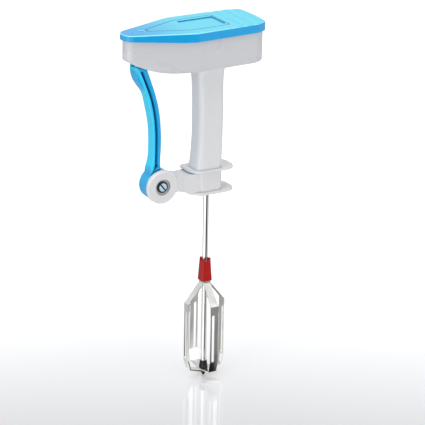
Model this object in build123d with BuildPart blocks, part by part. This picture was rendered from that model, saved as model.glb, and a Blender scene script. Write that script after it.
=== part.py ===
from build123d import *

import os
from math import acos, cos, pi, radians, sin, sqrt, tan

# Squeeze-lever egg beater, in millimetres, +Z up.
# The origin is on the shaft's axis, at the underside of the lower rest plate.
# +X is the blunt end of the case, -X is the nose, where the squeeze lever is.

# ---------------------------------------------------------------- driving dimensions
RUNNING_GAP = 0.05          # radial clearance of a turning fit
SEAT_GAP = 0.02             # radial clearance of a fixed fit

HEAD_CLEARANCE = 0.3        # around a screw's head
SHANK_CLEARANCE = 0.2       # around a screw's shank where it doesn't bite
OVERCUT = 1.0               # how far a cut starts outside the solid
END_GAP = 0.1               # beyond the end of a pin or bush

# Case: the housing and its cover share one plan outline, whose blunt end is slightly bowed
CASE_BLUNT_X = 45.8
CASE_END_X = 44.6
CASE_END_Y = 21.2
CASE_CORNER_X = 35.0
CASE_CORNER_Y = 26.0
CASE_SHOULDER_X = -27.0
CASE_SHOULDER_Y = 27.6
CASE_NOSE_X = -86.0
NOSE_TAPER = 0.34           # half-width lost per millimetre towards the nose
NOSE_RADIUS = 10.0
SHOULDER_RADIUS = 14.0
CORNER_RADIUS = 5.0

# Cover
COVER_TOP_Z = 153.5
COVER_SKIRT_Z = 145.3
COVER_PLATE_Z = 151.3
COVER_SKIRT_WALL = 2.0
COVER_EDGE_RADIUS = 1.2
SKIRT_RISE_X = -38.0        # the skirt's lower edge climbs from here to the nose
SKIRT_RISE = 0.06
COVER_BOSS_RADIUS = 3.3
AXLE_SEAT_DEPTH = 6.5
ARROW_TIP = (-62.0, 3.2)
ARROW_SHOULDER_X = -27.0
ARROW_END_X = 11.3
ARROW_HALF_Y = 16.8
ARROW_CORNER = 1.5
ARROW_LINE_WIDTH = 0.7
ARROW_LINE_DEPTH = 0.45
FIELD_X = (-25.6, 9.8)
FIELD_HALF_Y = 12.4
FIELD_CORNER = 2.0
FIELD_DEPTH = 0.9
RIDGE_FIRST_X = 16.6
RIDGE_PITCH = 9.7
RIDGE_COUNT = 3
RIDGE_RADIUS = 13.0
RIDGE_DEPTH = 0.65
DIMPLES = ((-67.0, 3.0), (-76.0, 2.4))      # place along x, radius
DIMPLE_FLATNESS = 1.8       # radius of a dimple's ball over the dimple's own radius

# Housing
HOUSING_INSET = 2.2
HOUSING_WALL = 2.0
HOUSING_FLOOR_Z = 117.0
FLOOR_THICKNESS = 2.2
FLOOR_TOP_Z = HOUSING_FLOOR_Z + FLOOR_THICKNESS
NOSE_RISE_X = -40.0         # the underside curves up from here to the nose
NOSE_RISE_RADIUS = 79.0
NOSE_RISE_ANGLE = 42.0
HOUSING_EDGE_RADIUS = 3.0
SLOT_HALF_WIDTH = 6.25
SLOT_CORNER = 1.5
SLOT_NOSE_X = -78.8
SLOT_INNER_X = -30.0
SLOT_TOP_Z = 131.5
RAIL_X = (-42.0, 29.0)
RAIL_BACK_Y = -10.8
RAIL_LEDGE_Y = -6.8
RAIL_TOP_Z = 131.0
RAIL_GAP = 0.2

# Cover screws, driven from below
COVER_SCREW_SPOTS = ((36.0, 13.0), (36.0, -13.0), (-45.0, 13.4), (-45.0, -13.4))
POST_RADIUS = 4.4
POST_TOP_Z = 139.8
POST_GAP = 0.2
SCREW_SEAT_Z = 134.0
COVER_SCREW_RADIUS = 1.5
COVER_SCREW_HEAD_RADIUS = 2.8
COVER_SCREW_HEAD = 2.0
COVER_SCREW_TOP_Z = 147.0

# Grip column
COLUMN_FOOT_Z = 22.0
COLUMN_TOP_Z = HOUSING_FLOOR_Z
COLUMN_SOLID_Z = 108.0
COLUMN_WALL = 2.2
COLUMN_SECTIONS = (         # height, lowest x, highest x, half-depth in y, corner radius
    (22.0, -14.8, 10.6, 10.7, 6.2),
    (40.0, -12.9, 11.8, 10.1, 5.8),
    (64.0, -12.1, 12.1, 10.0, 5.5),
    (90.0, -12.6, 12.0, 10.2, 5.8),
    (106.0, -13.6, 12.1, 10.7, 6.2),
    (117.0, -15.0, 13.6, 12.0, 6.5),
)
COLUMN_SCREW_SPOTS = ((8.8, 3.2), (-8.8, -3.2))
COLUMN_SCREW_RADIUS = 1.4
COLUMN_SCREW_HEAD_RADIUS = 2.6
COLUMN_SCREW_HEAD = 1.8
COLUMN_SCREW_END_Z = 110.0

# Base bracket with its two rest plates
PLATE_THICKNESS = 1.8
PLATE_LEVELS = (0.0, COLUMN_FOOT_Z - PLATE_THICKNESS)
PLATE_X = (-20.6, 23.0)
PLATE_HALF_Y = 13.8
PLATE_CORNERS = (13.0, 4.0, 10.5)           # lever side front, lever side back, both far corners
NECK_X = (-13.4, 11.4)
NECK_HALF_Y = 10.6
NECK_CORNER = 6.0
ARM_HALF_Y = 9.0
ARM_END_X = -35.3
ARM_SIDE = (                # outline seen from the side, as x and z
    (-9.0, 0.9),
    (-20.6, 0.9),
    (-28.0, 4.8),
    (ARM_END_X, 6.6),
    (ARM_END_X, 18.4),
    (-24.0, 19.2),
    (-17.0, 19.6),
    (-9.0, 20.8),
)
SPIGOT_X = (-9.5, 7.7)
SPIGOT_HALF_Y = 7.6
SPIGOT_CORNER = 2.5
SPIGOT_TOP_Z = 33.0
BASE_SCREW_XS = (-7.0, 3.0)
BASE_SCREW_Z = 27.5
BASE_SCREW_START_Y = 12.0   # its holes are cut from here towards the shaft
BASE_SCREW_RADIUS = 1.2
BASE_SCREW_HEAD_RADIUS = 2.2
BASE_SCREW_HEAD = 1.1
BASE_SCREW_LENGTH = 4.2
BASE_SCREW_SEAT_Y = 9.0
BUSH_SEAT_DEPTH = 10.0
SHAFT_PASSAGE = 1.0         # how much wider the passage is than the shaft, in radius

# Lever pivot
PIVOT_X = -50.0
PIVOT_Z = 13.3
PIVOT_SCREW_RADIUS = 2.5
PIVOT_HEAD_RADIUS = 5.2
PIVOT_HEAD_HEIGHT = 1.7
PIVOT_HEAD_EDGE = 0.9
PIVOT_SLOT_WIDTH = 1.3
PIVOT_SLOT_DEPTH = 0.9
PIVOT_SLOT_TURN = -52.0
NUT_RADIUS = 4.6
NUT_POCKET_RADIUS = 4.7
NUT_POCKET_DEPTH = 1.6
NUT_HEIGHT = 2.4
NUT_PROUD = 0.9
NUT_CHAMFER = 0.3
SLEEVE_RADIUS = 3.6
SLEEVE_END_GAP = 0.02
PIVOT_WASHER_RADIUS = 6.0
PIVOT_WASHER = 0.4           # thickness
DISC_RADIUS = 15.0
DISC_FRONT_Y = -11.0
DISC_EDGE_RADIUS = 1.3
EAR_INNER_Y = 7.5
DISC_RECESS_RADIUS = 7.3
DISC_RECESS_DEPTH = 1.9
REAR_EAR_RADIUS = 9.0
REAR_EAR_Y = 11.0
FRONT_WEB = ((-44.0, 6.6), (-30.0, 6.4), (-30.0, 18.6), (-44.0, 19.4))
FRONT_WEB_THICKNESS = 2.3
REAR_WEB = ((-50.0, 4.3), (-30.0, 6.2), (-22.0, 9.0), (-22.0, 16.0), (-30.0, 18.6), (-50.0, 22.3))
HUB_RADIUS = 14.0
HUB_HALF_Y = 6.9
SPRING_CHAMBER_RADIUS = 8.6
SPRING_CHAMBER_CORE = 4.8
SPRING_CHAMBER_Y = 0.6
SPRING_COIL_RADIUS = 6.5
SPRING_WIRE_RADIUS = 0.5
SPRING_LENGTH = 4.5
SPRING_FIRST_Y = 1.4
SPRING_TURNS = 4.25
SPRING_LEG = 5.5
SPRING_LEG_GAP = 0.1
SPRING_ANCHOR_DEPTH = 4.0
SPRING_WINDOW = ((7.0, -1.0), (15.0, -1.6), (15.0, 6.6), (7.0, 3.4))    # from the pivot's axis

# Lever
LEVER_HALF_Y = 5.7
LEVER_REST_ANGLE = 10.0     # the drive pin leans this far back from upright at rest
PEG_REACH = 118.0
PEG_RADIUS = 1.5
PEG_CHAMFER = 0.3
PEG_X = PIVOT_X - PEG_REACH * sin(radians(LEVER_REST_ANGLE))
PEG_Z = PIVOT_Z + PEG_REACH * cos(radians(LEVER_REST_ANGLE))
FORK_INNER_Y = 2.5
FORK_OUTER_Y = 5.0
THROAT_RADIUS = 112.4
GROOVE_DEPTH = 3.0
LEVER_EDGE_RADIUS = 1.1
LEVER_LONG_EDGE = 60.0      # every edge longer than this runs along the lever
LEVER_OUTER = (             # side outline on the palm's side, from the nose down, as x and z
    (-75.3, 123.5),
    (-74.9, 118.0),
    (-73.4, 112.3),
    (-69.3, 105.4),
    (-64.6, 98.5),
    (-60.8, 85.5),
    (-58.2, 73.5),
    (-56.7, 60.0),
    (-56.5, 48.0),
    (-57.1, 37.5),
    (-59.3, 29.0),
    (-59.9, 25.0),
    (-57.5, 19.0),
)
LEVER_INNER = (             # side outline on the column's side, from the hub up
    (-46.5, 21.0),
    (-49.4, 30.0),
    (-49.3, 46.0),
    (-49.6, 66.3),
    (-51.3, 80.9),
    (-54.4, 94.1),
    (-58.5, 106.5),
    (-63.6, 120.5),
)
FORK_SIDE = ((-75.0, 121.0), (-74.4, 129.0), (-72.2, 132.6), (-68.6, 132.6), (-66.6, 129.0), (-64.2, 119.5))
THROAT_LENGTH = 16.0
THROAT_HEIGHT = 24.0
GROOVE_RIGHT = (
    (-68.0, 119.4),
    (-62.6, 106.3),
    (-58.1, 94.1),
    (-54.9, 80.9),
    (-53.1, 66.3),
    (-52.7, 46.0),
    (-52.9, 33.5),
)
GROOVE_FOOT = ((-52.2, 31.0), (-55.6, 28.6), (-57.6, 25.9))
GROOVE_LEFT = (
    (-55.4, 33.5),
    (-55.2, 46.0),
    (-55.6, 66.3),
    (-57.4, 80.9),
    (-60.7, 94.1),
    (-65.3, 106.3),
    (-70.6, 119.4),
)

# Gear train
MODULE = 0.8
PRESSURE_ANGLE = radians(25)
ADDENDUM = 0.9 * MODULE
DEDENDUM = 1.15 * MODULE
BACKLASH = 0.12
TOOTH_HALF_WIDTH = pi * MODULE / 4 - BACKLASH / 4
RACK_PITCH = pi * MODULE
PINION_TEETH = 12
WHEEL_TEETH = 44
IDLER_X = -MODULE * (PINION_TEETH + WHEEL_TEETH) / 2
RACK_PITCH_Y = -MODULE * PINION_TEETH / 2
IDLER_Z = (125.8, 137.0, 143.0)
SHAFT_PINION_Z = (136.0, 144.0)
IDLER_AXLE_RADIUS = 2.0
IDLER_AXLE_CHAMFER = 0.4
IDLER_BOSS_RADIUS = 4.0
IDLER_BOSS_TOP_Z = 125.4
IDLER_BOSS_GAP = 0.4
AXLE_END_GAP = 0.5
WEB_RECESS_RADII = (5.5, 14.5)
WEB_RECESS_DEPTH = 3.5
RACK_Z = (126.2, 133.2)
RACK_BACK_Y = -8.6
RACK_END_X = -16.0
RACK_TEETH = 18
RACK_FIRST_TOOTH = 1.5      # pitches from the idler's axis to the rack's first tooth
RACK_BRIDGE_X = (-65.6, -63.3)
TONGUE_X = -74.6
TONGUE_STEP_X = -67.0
TONGUE_HALF_Y = 2.2
TONGUE_TOP_Z = 135.0
PEG_SLOT_HALF_WIDTH = 1.7
PEG_SLOT_Z = (127.7, 133.1)

# Shaft and bearings
SHAFT_RADIUS = 2.5
SHAFT_TOP_Z = 150.6
SHAFT_TOP_CHAMFER = 0.5
SHAFT_SHOULDER_Z = -169.4
STUD_RADIUS = 1.3
STUD_END_Z = -175.2
BUSH_RADIUS = 4.0
BUSH_FLANGE = 1.4
BUSH_FLANGE_HEIGHT = 1.2
BUSH_BOSS_WALL = 2.2
LOWER_BUSH_RADIUS = 4.5
LOWER_BUSH_Z = 0.3
FLOOR_BUSH_DROP = 3.0
CLIP_Z = 121.3
CLIP_GROOVE = (0.5, 0.8)    # depth, height
CLIP_RADIUS = 4.4
CLIP_THICKNESS = 0.7
CLIP_MOUTH = 2.6
THRUST_WASHER_RADIUS = 4.3
THRUST_WASHER = 0.6         # thickness
THRUST_WASHER_Z = (FLOOR_TOP_Z + 1.35, SHAFT_PINION_Z[1] + 0.2)

# Beater
HUB_TOP_Z = -63.9
HUB_BOTTOM_Z = -85.0
HUB_TOP_SIDE = 7.6
HUB_BOTTOM_SIDE = 10.0
HUB_CORNERS = (1.1, 1.4)    # at the top, at the bottom
HUB_NOTCH_RADIUS = 1.7
HUB_NOTCH_DEPTH = 3.0
BLADE_THICKNESS = 0.8
BLADE_HALF_WIDTH = 4.1
BLADE_NECK_HALF_WIDTH = 3.45
BLADE_TAB_HALF_WIDTH = 2.6
BLADE_TAB_X = 4.05
BLADE_TAB_LENGTH = 4.2
BLADE_BEND_RADIUS = 2.2
BLADE_SHOULDER_RADIUS = 6.5
BLADE_NARROW_STEP = 1.5     # the narrower shoulder ends this far above the bend
BLADE_NECK_Z = -87.2
BLADE_REACH = 18.4
BLADE_SHOULDER_Z = -105.0
BLADE_HEEL_Z = -158.5
BLADE_FOOT_X = 15.8
BLADE_FOOT_Z = -168.2
BLADE_CROSSING_X = 5.4
BLADE_SLOT_WIDTH = 2.7
BLADE_SLOT_LENGTH = 45.0
BLADE_SLOT_Z = -135.5
BLADE_THIN_LEG = 1.5
SERRATION_PITCH = 1.9
SERRATION_COUNT = 25
SERRATION_SIZE = 0.9
SERRATION_Z = -135.0
LOWER_CROSSING_Z = -171.2
CROSSING_GAP = 0.08
COLLAR_RADIUS = 3.9
COLLAR_LIP = 0.5
COLLAR_HEIGHTS = (0.1, 1.6, 7.0)    # foot, top of the rim and top, above the shaft's shoulder
TIP_Z = -176.5
TIP_NUT_RADIUS = 2.3
TIP_POINT_RADIUS = 0.9
TIP_CONE_DROP = 2.4


# ---------------------------------------------------------------- shared shapes
def case_outline(inset):
    """The plan outline of the case, pulled in by inset."""
    nose_half_y = CASE_SHOULDER_Y - NOSE_TAPER * (CASE_SHOULDER_X - CASE_NOSE_X)
    half = [
        (CASE_NOSE_X, nose_half_y),
        (CASE_SHOULDER_X, CASE_SHOULDER_Y),
        (CASE_CORNER_X, CASE_CORNER_Y),
        (CASE_END_X, CASE_END_Y),
    ]
    with BuildSketch() as outline:
        with BuildLine():
            Polyline([(x, -y) for x, y in reversed(half)] + half)
            ThreePointArc((CASE_END_X, CASE_END_Y), (CASE_BLUNT_X, 0), (CASE_END_X, -CASE_END_Y))
        make_face()
        fillet(outline.vertices().filter_by(lambda v: abs(v.X - CASE_NOSE_X) < 0.1), NOSE_RADIUS)
        fillet(outline.vertices().filter_by(lambda v: abs(v.X - CASE_SHOULDER_X) < 0.1), SHOULDER_RADIUS)
        fillet(outline.vertices().filter_by(lambda v: v.X > CASE_CORNER_X - 0.1), CORNER_RADIUS)
        if inset > 0:
            offset(amount=-inset)
    return outline.sketch


def nose_rise(floor_z, radius):
    """The side outline of what is cut away under a floor that curves up towards the nose."""
    with BuildSketch() as cut:
        with BuildLine():
            rise = CenterArc((NOSE_RISE_X, floor_z + radius), radius, 270, -NOSE_RISE_ANGLE)
            end = rise @ 1
            low_z = floor_z - 2 * HOUSING_EDGE_RADIUS
            Polyline(end, (end.X, low_z), (NOSE_RISE_X, low_z), (NOSE_RISE_X, floor_z))
        make_face()
    return cut.sketch


def gear_face(teeth, turn):
    """The face of an involute spur gear with one tooth centred on the angle turn, in degrees."""
    pitch_radius = MODULE * teeth / 2
    base_radius = pitch_radius * cos(PRESSURE_ANGLE)
    root_radius = pitch_radius - DEDENDUM
    tip_radius = pitch_radius + ADDENDUM
    radii = [root_radius, (root_radius + pitch_radius) / 2, pitch_radius, tip_radius]

    def half_angle(radius):
        pressure = acos(min(1.0, base_radius / radius))
        involute = tan(pressure) - pressure
        return TOOTH_HALF_WIDTH / pitch_radius + tan(PRESSURE_ANGLE) - PRESSURE_ANGLE - involute

    points = []
    for tooth in range(teeth):
        centre = radians(turn) + 2 * pi * tooth / teeth
        flank = [(radius, half_angle(radius)) for radius in radii]
        for radius, angle in flank:
            points.append((radius * cos(centre - angle), radius * sin(centre - angle)))
        for radius, angle in reversed(flank):
            points.append((radius * cos(centre + angle), radius * sin(centre + angle)))
    with BuildSketch() as face:
        with BuildLine():
            Polyline(points, close=True)
        make_face()
    return face.sketch


def screw(head_plane, head_radius, head_height, shank_radius, shank_length):
    """A pan-head cross-slot screw: its head stands on the plane and its shank runs behind it."""
    with BuildPart() as body:
        with BuildSketch(head_plane):
            Circle(head_radius)
        extrude(amount=head_height)
        top = body.faces().sort_by(lambda f: f.center().dot(head_plane.z_dir))[-1]
        fillet(top.edges(), head_height * 0.45)
        with BuildSketch(head_plane.offset(head_height)):
            Rectangle(head_radius * 1.2, head_radius * 0.3)
            Rectangle(head_radius * 0.3, head_radius * 1.2)
        extrude(amount=-head_height * 0.5, mode=Mode.SUBTRACT)
        with BuildSketch(head_plane):
            Circle(shank_radius)
        extrude(amount=-shank_length)
    return body.part


def save(part, name):
    """Labels a finished piece and writes it to its own STEP file."""
    part.label = name
    export_step(part, f"parts/{name}.step")


os.makedirs("parts", exist_ok=True)
cover_face = case_outline(0)
cover_inner_face = case_outline(COVER_SKIRT_WALL)
housing_face = case_outline(HOUSING_INSET)
housing_inner_face = case_outline(HOUSING_INSET + HOUSING_WALL)
pivot_plane = Plane(origin=(PIVOT_X, 0, PIVOT_Z), x_dir=(1, 0, 0), z_dir=(0, -1, 0))
base_screw_plane = Plane.XZ.offset(-BASE_SCREW_START_Y)
base_screw_spots = [(x, BASE_SCREW_Z) for x in BASE_SCREW_XS]


# ---------------------------------------------------------------- gear housing
with BuildPart() as housing_outside:
    with BuildSketch(Plane.XY.offset(HOUSING_FLOOR_Z)):
        add(housing_face)
    extrude(amount=COVER_PLATE_Z - HOUSING_FLOOR_Z)
    with BuildSketch(Plane.XZ):
        add(nose_rise(HOUSING_FLOOR_Z, NOSE_RISE_RADIUS))
    extrude(amount=CASE_SHOULDER_Y, both=True, mode=Mode.SUBTRACT)
    underside = housing_outside.faces().filter_by(lambda f: f.normal_at().Z < -0.5)
    rim = underside.edges().filter_by(lambda e: abs(e.center().X - NOSE_RISE_X) > 0.01)
    fillet(rim, HOUSING_EDGE_RADIUS)

with BuildPart() as housing_cavity:
    with BuildSketch(Plane.XY.offset(FLOOR_TOP_Z)):
        add(housing_inner_face)
    extrude(amount=COVER_TOP_Z - FLOOR_TOP_Z)
    with BuildSketch(Plane.XZ):
        add(nose_rise(FLOOR_TOP_Z, NOSE_RISE_RADIUS - FLOOR_THICKNESS))
    extrude(amount=CASE_SHOULDER_Y, both=True, mode=Mode.SUBTRACT)

with BuildPart() as gear_housing:
    add(housing_outside.part)
    add(housing_cavity.part, mode=Mode.SUBTRACT)
    # posts that the cover screws pass up through
    with BuildSketch(Plane.XY.offset(FLOOR_TOP_Z - OVERCUT)):
        with Locations(*COVER_SCREW_SPOTS):
            Circle(POST_RADIUS)
    extrude(amount=POST_TOP_Z - FLOOR_TOP_Z + OVERCUT)
    with BuildSketch(Plane.XY.offset(HOUSING_FLOOR_Z)):
        with Locations(*COVER_SCREW_SPOTS):
            Circle(COVER_SCREW_HEAD_RADIUS + HEAD_CLEARANCE)
    extrude(amount=SCREW_SEAT_Z - HOUSING_FLOOR_Z, mode=Mode.SUBTRACT)
    with BuildSketch(Plane.XY.offset(HOUSING_FLOOR_Z)):
        with Locations(*COVER_SCREW_SPOTS):
            Circle(COVER_SCREW_RADIUS + SHANK_CLEARANCE)
    extrude(amount=POST_TOP_Z - HOUSING_FLOOR_Z + OVERCUT, mode=Mode.SUBTRACT)
    # boss that holds the idler's axle
    with BuildSketch(Plane.XY.offset(FLOOR_TOP_Z - OVERCUT)):
        with Locations((IDLER_X, 0)):
            Circle(IDLER_BOSS_RADIUS)
    extrude(amount=IDLER_BOSS_TOP_Z - FLOOR_TOP_Z + OVERCUT)
    with BuildSketch(Plane.XY.offset(FLOOR_TOP_Z)):
        with Locations((IDLER_X, 0)):
            Circle(IDLER_AXLE_RADIUS + SEAT_GAP)
    extrude(amount=IDLER_BOSS_TOP_Z - FLOOR_TOP_Z + OVERCUT, mode=Mode.SUBTRACT)
    # rail under and behind the rack
    with BuildSketch(Plane.YZ.offset(RAIL_X[0])):
        with BuildLine():
            Polyline(
                (RAIL_BACK_Y, FLOOR_TOP_Z - OVERCUT / 2),
                (RAIL_LEDGE_Y, FLOOR_TOP_Z - OVERCUT / 2),
                (RAIL_LEDGE_Y, RACK_Z[0] - RAIL_GAP),
                (RACK_BACK_Y - HEAD_CLEARANCE, RACK_Z[0] - RAIL_GAP),
                (RACK_BACK_Y - HEAD_CLEARANCE, RAIL_TOP_Z),
                (RAIL_BACK_Y, RAIL_TOP_Z),
                close=True,
            )
        make_face()
    extrude(amount=RAIL_X[1] - RAIL_X[0])
    # slot for the lever
    with BuildSketch(Plane.XY.offset(HOUSING_FLOOR_Z - OVERCUT)):
        with Locations(((SLOT_NOSE_X + SLOT_INNER_X) / 2, 0)):
            RectangleRounded(SLOT_INNER_X - SLOT_NOSE_X, 2 * SLOT_HALF_WIDTH, SLOT_CORNER)
    extrude(amount=SLOT_TOP_Z - HOUSING_FLOOR_Z + OVERCUT, mode=Mode.SUBTRACT)
    # seats of the floor bush and the column screws
    with BuildSketch(Plane.XY.offset(HOUSING_FLOOR_Z - OVERCUT)):
        Circle(BUSH_RADIUS + SEAT_GAP)
        with Locations(*COLUMN_SCREW_SPOTS):
            Circle(COLUMN_SCREW_RADIUS + SHANK_CLEARANCE)
    extrude(amount=FLOOR_THICKNESS + 2 * OVERCUT, mode=Mode.SUBTRACT)
save(gear_housing.part, "gear_housing")


# ---------------------------------------------------------------- top cover
with BuildPart() as top_cover:
    with BuildSketch(Plane.XY.offset(COVER_SKIRT_Z)):
        add(cover_face)
    extrude(amount=COVER_TOP_Z - COVER_SKIRT_Z)
    fillet(top_cover.faces().sort_by(Axis.Z)[-1].edges(), COVER_EDGE_RADIUS)
    # the skirt's lower edge climbs towards the nose
    nose_end_x = CASE_NOSE_X - OVERCUT
    with BuildSketch(Plane.XZ):
        with BuildLine():
            Polyline(
                (SKIRT_RISE_X, COVER_SKIRT_Z),
                (nose_end_x, COVER_SKIRT_Z + SKIRT_RISE * (SKIRT_RISE_X - nose_end_x)),
                (nose_end_x, COVER_SKIRT_Z),
                close=True,
            )
        make_face()
    extrude(amount=CASE_SHOULDER_Y, both=True, mode=Mode.SUBTRACT)
    # arrow-shaped line round a sunken field
    with BuildSketch(Plane.XY.offset(COVER_TOP_Z)) as arrow:
        with BuildLine():
            Polyline(
                (ARROW_TIP[0], -ARROW_TIP[1]),
                ARROW_TIP,
                (ARROW_SHOULDER_X, ARROW_HALF_Y),
                (ARROW_END_X, ARROW_HALF_Y),
                (ARROW_END_X, -ARROW_HALF_Y),
                (ARROW_SHOULDER_X, -ARROW_HALF_Y),
                close=True,
            )
        make_face()
        fillet(arrow.vertices(), ARROW_CORNER)
        offset(amount=-ARROW_LINE_WIDTH, mode=Mode.SUBTRACT)
    extrude(amount=-ARROW_LINE_DEPTH, mode=Mode.SUBTRACT)
    with BuildSketch(Plane.XY.offset(COVER_TOP_Z)):
        with Locations((sum(FIELD_X) / 2, 0)):
            RectangleRounded(FIELD_X[1] - FIELD_X[0], 2 * FIELD_HALF_Y, FIELD_CORNER)
    extrude(amount=-FIELD_DEPTH, mode=Mode.SUBTRACT)
    # finger ridges across the blunt end
    with BuildSketch(Plane.XZ):
        for ridge in range(RIDGE_COUNT):
            with Locations((RIDGE_FIRST_X + ridge * RIDGE_PITCH, COVER_TOP_Z + RIDGE_RADIUS - RIDGE_DEPTH)):
                Circle(RIDGE_RADIUS)
    extrude(amount=CASE_SHOULDER_Y, both=True, mode=Mode.SUBTRACT)
    # round dimples on the nose
    for dimple_x, dimple_radius in DIMPLES:
        ball_radius = dimple_radius * DIMPLE_FLATNESS
        ball_height = sqrt(ball_radius**2 - dimple_radius**2)
        with Locations((dimple_x, 0, COVER_TOP_Z + ball_height)):
            Sphere(ball_radius, mode=Mode.SUBTRACT)
    # inside of the skirt
    with BuildSketch(Plane.XY.offset(COVER_SKIRT_Z)):
        add(cover_inner_face)
    extrude(amount=COVER_PLATE_Z - COVER_SKIRT_Z, mode=Mode.SUBTRACT)
    # screw bosses, axle boss and bush boss
    with BuildSketch(Plane.XY.offset(POST_TOP_Z + POST_GAP)):
        with Locations(*COVER_SCREW_SPOTS):
            Circle(COVER_BOSS_RADIUS)
    extrude(amount=COVER_PLATE_Z - POST_TOP_Z)
    with BuildSketch(Plane.XY.offset(POST_TOP_Z)):
        with Locations(*COVER_SCREW_SPOTS):
            Circle(COVER_SCREW_RADIUS + SEAT_GAP)
    extrude(amount=COVER_SCREW_TOP_Z + OVERCUT / 2 - POST_TOP_Z, mode=Mode.SUBTRACT)
    with BuildSketch(Plane.XY.offset(IDLER_Z[2] + IDLER_BOSS_GAP)):
        with Locations((IDLER_X, 0)):
            Circle(IDLER_BOSS_RADIUS)
    extrude(amount=COVER_PLATE_Z - IDLER_Z[2])
    with BuildSketch(Plane.XY.offset(IDLER_Z[2])):
        with Locations((IDLER_X, 0)):
            Circle(IDLER_AXLE_RADIUS + SEAT_GAP)
    extrude(amount=AXLE_SEAT_DEPTH, mode=Mode.SUBTRACT)
    with BuildSketch(Plane.XY.offset(SHAFT_PINION_Z[1] + OVERCUT)):
        Circle(BUSH_RADIUS + BUSH_BOSS_WALL)
    extrude(amount=COVER_PLATE_Z - SHAFT_PINION_Z[1])
    with BuildSketch(Plane.XY.offset(SHAFT_PINION_Z[1])):
        Circle(BUSH_RADIUS + SEAT_GAP)
    extrude(amount=COVER_PLATE_Z - SHAFT_PINION_Z[1], mode=Mode.SUBTRACT)
save(top_cover.part, "top_cover")

cover_screws = []
for spot_x, spot_y in COVER_SCREW_SPOTS:
    seat = Plane(origin=(spot_x, spot_y, SCREW_SEAT_Z), x_dir=(1, 0, 0), z_dir=(0, 0, -1))
    shank_length = COVER_SCREW_TOP_Z - SCREW_SEAT_Z
    cover_screws.append(
        screw(seat, COVER_SCREW_HEAD_RADIUS, COVER_SCREW_HEAD, COVER_SCREW_RADIUS, shank_length)
    )
save(Compound(children=cover_screws), "cover_screws")


# ---------------------------------------------------------------- grip column
with BuildPart() as column_cavity:
    for height, low_x, high_x, half_y, corner in COLUMN_SECTIONS:
        with BuildSketch(Plane.XY.offset(height)):
            with Locations(((low_x + high_x) / 2, 0)):
                RectangleRounded(
                    high_x - low_x - 2 * COLUMN_WALL,
                    2 * half_y - 2 * COLUMN_WALL,
                    corner - COLUMN_WALL,
                )
    loft()
    split(bisect_by=Plane.XY.offset(COLUMN_SOLID_Z), keep=Keep.BOTTOM)

with BuildPart() as grip_column:
    for height, low_x, high_x, half_y, corner in COLUMN_SECTIONS:
        with BuildSketch(Plane.XY.offset(height)):
            with Locations(((low_x + high_x) / 2, 0)):
                RectangleRounded(high_x - low_x, 2 * half_y, corner)
    loft()
    add(column_cavity.part, mode=Mode.SUBTRACT)
    with BuildSketch(Plane.XY.offset(COLUMN_SOLID_Z - OVERCUT)):
        Circle(BUSH_RADIUS + HEAD_CLEARANCE)
    extrude(amount=COLUMN_TOP_Z - COLUMN_SOLID_Z + 2 * OVERCUT, mode=Mode.SUBTRACT)
    with BuildSketch(Plane.XY.offset(COLUMN_SCREW_END_Z - OVERCUT / 2)):
        with Locations(*COLUMN_SCREW_SPOTS):
            Circle(COLUMN_SCREW_RADIUS + SEAT_GAP)
    extrude(amount=COLUMN_TOP_Z - COLUMN_SCREW_END_Z + OVERCUT, mode=Mode.SUBTRACT)
    # countersunk holes for the two base screws, at the back
    with BuildSketch(base_screw_plane):
        with Locations(*base_screw_spots):
            Circle(BASE_SCREW_HEAD_RADIUS + HEAD_CLEARANCE)
    extrude(amount=BASE_SCREW_START_Y - BASE_SCREW_SEAT_Y, mode=Mode.SUBTRACT)
    with BuildSketch(base_screw_plane):
        with Locations(*base_screw_spots):
            Circle(BASE_SCREW_RADIUS + SHANK_CLEARANCE)
    extrude(amount=BASE_SCREW_START_Y - BASE_SCREW_SEAT_Y + BASE_SCREW_LENGTH / 2, mode=Mode.SUBTRACT)
save(grip_column.part, "grip_column")

column_screws = []
for spot_x, spot_y in COLUMN_SCREW_SPOTS:
    seat = Plane(origin=(spot_x, spot_y, FLOOR_TOP_Z), x_dir=(1, 0, 0), z_dir=(0, 0, 1))
    shank_length = FLOOR_TOP_Z - COLUMN_SCREW_END_Z
    column_screws.append(
        screw(seat, COLUMN_SCREW_HEAD_RADIUS, COLUMN_SCREW_HEAD, COLUMN_SCREW_RADIUS, shank_length)
    )
save(Compound(children=column_screws), "column_screws")


# ---------------------------------------------------------------- base bracket
def plate_outline():
    """The rest plate's outline, whose corners differ."""
    low_x, high_x = PLATE_X
    front_corner, back_corner, far_corner = PLATE_CORNERS
    with BuildSketch() as plate:
        with Locations(((low_x + high_x) / 2, 0)):
            Rectangle(high_x - low_x, 2 * PLATE_HALF_Y)
        fillet(plate.vertices().filter_by(lambda v: v.X < 0 and v.Y < 0), front_corner)
        fillet(plate.vertices().filter_by(lambda v: v.X < 0 and v.Y > PLATE_HALF_Y / 2), back_corner)
        fillet(plate.vertices().filter_by(lambda v: v.X > high_x - 1), far_corner)
    return plate.sketch


plate_face = plate_outline()

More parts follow.
